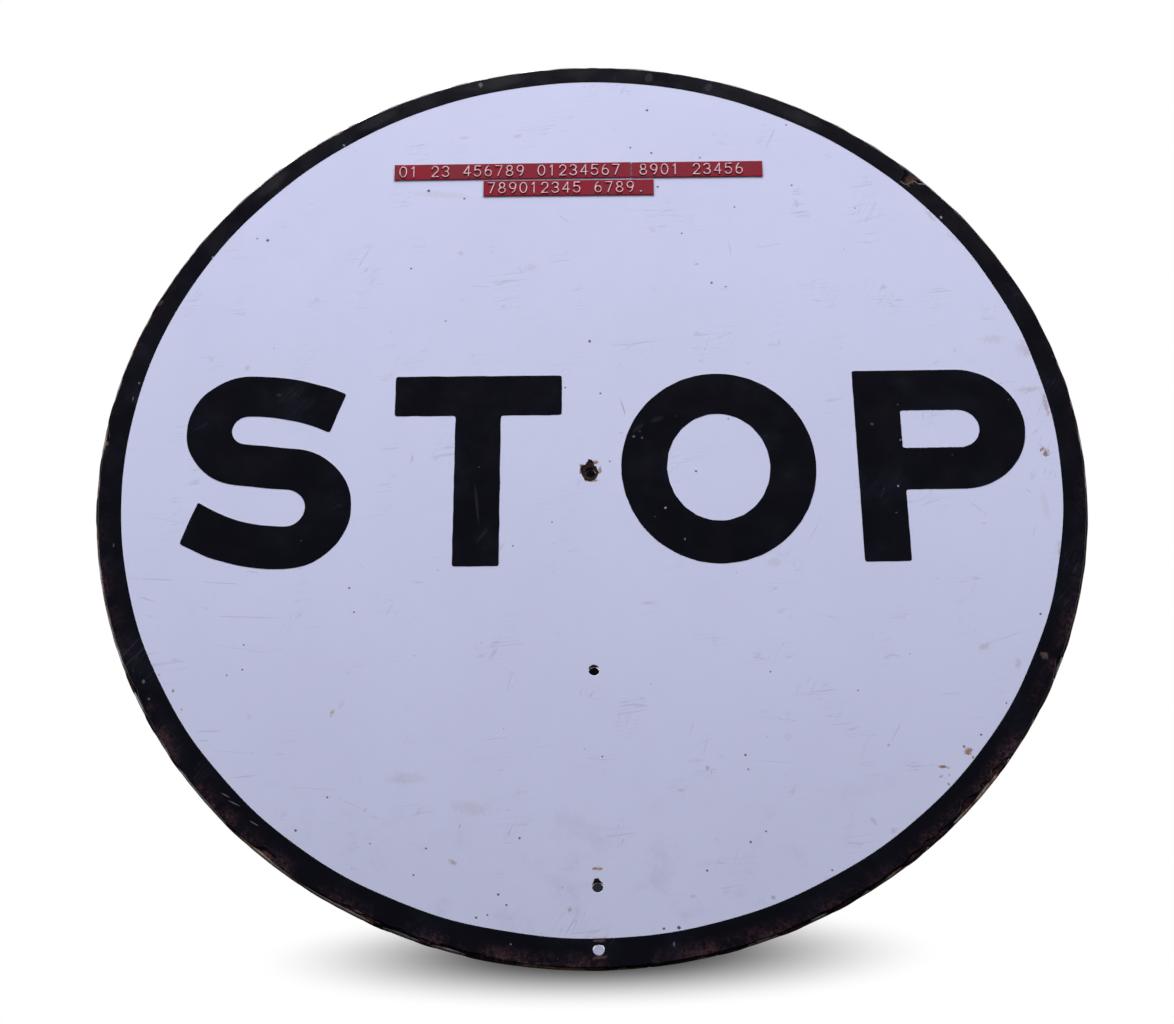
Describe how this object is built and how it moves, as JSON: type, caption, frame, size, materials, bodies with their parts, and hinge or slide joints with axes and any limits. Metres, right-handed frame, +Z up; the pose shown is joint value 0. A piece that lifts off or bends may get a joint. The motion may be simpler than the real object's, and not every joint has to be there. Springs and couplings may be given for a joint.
{
  "type": "stop slow paddle",
  "caption": "Round enamelled steel head of a hand-held traffic stop paddle, lettered on both faces, with a line of holes for its staff.",
  "frame": {"origin": "middle of the sheet's thickness on the axis of the centre hole, which is the centre of the round sheet", "axes": "+X to the right seen from the front, +Z up along the line of holes, front face towards -Y"},
  "size_m": [0.3048, 0.003, 0.3048],
  "materials": {
    "steel": "bare sheet steel, seen only where the enamel is chipped, and rusty there",
    "black_enamel": "glossy vitreous enamel, worn and speckled",
    "white_enamel": "glossy vitreous enamel, finely scratched and stained",
    "label_tape": "glossy embossed plastic tape with whitened characters",
    "adhesive": "dull aged adhesive film"
  },
  "bodies": {
    "root": {"steel_blank": "steel", "ground_coat": "black_enamel", "front_white_coat": "white_enamel", "front_border": "black_enamel", "front_letter_s": "black_enamel", "front_letter_t": "black_enamel", "front_letter_o": "black_enamel", "front_letter_p": "black_enamel", "back_white_coat": "white_enamel", "back_border": "black_enamel", "back_letter_s": "black_enamel", "back_letter_t": "black_enamel", "back_letter_o": "black_enamel", "back_letter_p": "black_enamel", "label_adhesive_upper_left": "adhesive", "label_tape_upper_left": "label_tape", "label_adhesive_upper_right": "adhesive", "label_tape_upper_right": "label_tape", "label_adhesive_lower": "adhesive", "label_tape_lower": "label_tape"}
  },
  "joints": []
}
